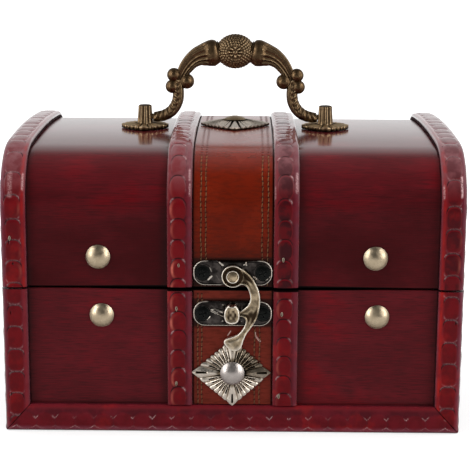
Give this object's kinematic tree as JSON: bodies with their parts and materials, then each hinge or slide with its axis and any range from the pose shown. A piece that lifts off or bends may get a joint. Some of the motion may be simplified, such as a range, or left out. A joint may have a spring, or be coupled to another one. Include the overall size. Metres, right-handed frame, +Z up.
{
  "type": "wooden storage box",
  "caption": "Small wooden keepsake chest with a domed hinged lid, a leather strip, embossed trim, a swing-hook latch and a bail handle.",
  "frame": {"origin": "centre of the underside, at the level that the box stands on", "axes": "+X along the length, to the right as seen from the front; -Y out of the front, where the latch is; +Z up"},
  "size_m": [0.22, 0.1675, 0.1859],
  "materials": {
    "panel_lacquer": "dark red stain under semi-gloss lacquer, fine straight grain",
    "trim_lacquer": "embossed, crimson gloss lacquer",
    "strip_leather": "reddish brown, smooth, double stitched",
    "pale_brass": "pale polished",
    "nickel_nail": "nickel plated, polished",
    "antique_silver": "antique silver plate, dark in the grooves",
    "dark_latch_metal": "blackened with bright worn edges",
    "antique_brass": "antique plate, bright edges",
    "black_screw": "black oxide",
    "antique_bronze": "antique bronze plate over a casting, bright high spots",
    "hinge_metal": "antique plate, dull"
  },
  "bodies": {
    "base": {"base_floor": "panel_lacquer", "base_front_panel": "panel_lacquer", "base_back_panel": "panel_lacquer", "base_left_panel": "panel_lacquer", "base_right_panel": "panel_lacquer", "bottom_rail_front": "trim_lacquer", "bottom_rail_back": "trim_lacquer", "bottom_rail_left": "trim_lacquer", "bottom_rail_right": "trim_lacquer", "corner_trim_front_left": "trim_lacquer", "corner_trim_front_right": "trim_lacquer", "corner_trim_back_left": "trim_lacquer", "corner_trim_back_right": "trim_lacquer", "base_strap_front_left": "trim_lacquer", "base_strap_front_right": "trim_lacquer", "base_strap_back_left": "trim_lacquer", "base_strap_back_right": "trim_lacquer", "base_leather_front": "strip_leather", "base_leather_back": "strip_leather", "base_stud_left": "pale_brass", "base_stud_right": "pale_brass", "base_ornament": "antique_silver", "base_ornament_nail": "nickel_nail", "catch_plate": "dark_latch_metal", "catch_plate_screw_left": "black_screw", "catch_plate_screw_right": "black_screw", "hinge_base_leaf_left": "hinge_metal", "hinge_base_leaf_right": "hinge_metal", "hinge_pin_left": "hinge_metal", "hinge_pin_right": "hinge_metal"},
    "lid": {"lid_shell": "panel_lacquer", "lid_end_left": "panel_lacquer", "lid_end_right": "panel_lacquer", "lid_end_band_left": "trim_lacquer", "lid_end_band_right": "trim_lacquer", "lid_strap_left": "trim_lacquer", "lid_strap_right": "trim_lacquer", "lid_leather": "strip_leather", "lid_stud_left": "pale_brass", "lid_stud_right": "pale_brass", "lid_ornament": "antique_silver", "lid_ornament_nail": "antique_bronze", "hook_plate": "dark_latch_metal", "hook_plate_screw_left": "black_screw", "hook_plate_screw_right": "black_screw", "hook_rivet": "antique_brass", "hinge_lid_leaf_left": "hinge_metal", "hinge_lid_leaf_right": "hinge_metal", "handle_rosette_left": "antique_bronze", "handle_rosette_right": "antique_bronze", "handle_post_left": "antique_bronze", "handle_post_right": "antique_bronze", "handle_screw_left": "black_screw", "handle_screw_right": "black_screw"},
    "hook": {"hook_arm": "antique_brass"},
    "handle": {"handle_bail": "antique_bronze"}
  },
  "joints": [
    {"name": "lid_hinge", "type": "hinge", "parent": "base", "child": "lid", "pos_m": [0, 0.0804, 0.07135], "axis": [-1, 0, 0], "range_deg": [0, 100]},
    {"name": "hook_swing", "type": "hinge", "parent": "lid", "child": "hook", "pos_m": [0, -0.0826, 0.0784], "axis": [0, -1, 0], "range_deg": [-12, 100]},
    {"name": "handle_swing", "type": "hinge", "parent": "lid", "child": "handle", "pos_m": [0, 0, 0.1436], "axis": [1, 0, 0], "range_deg": [-84, 84]}
  ]
}
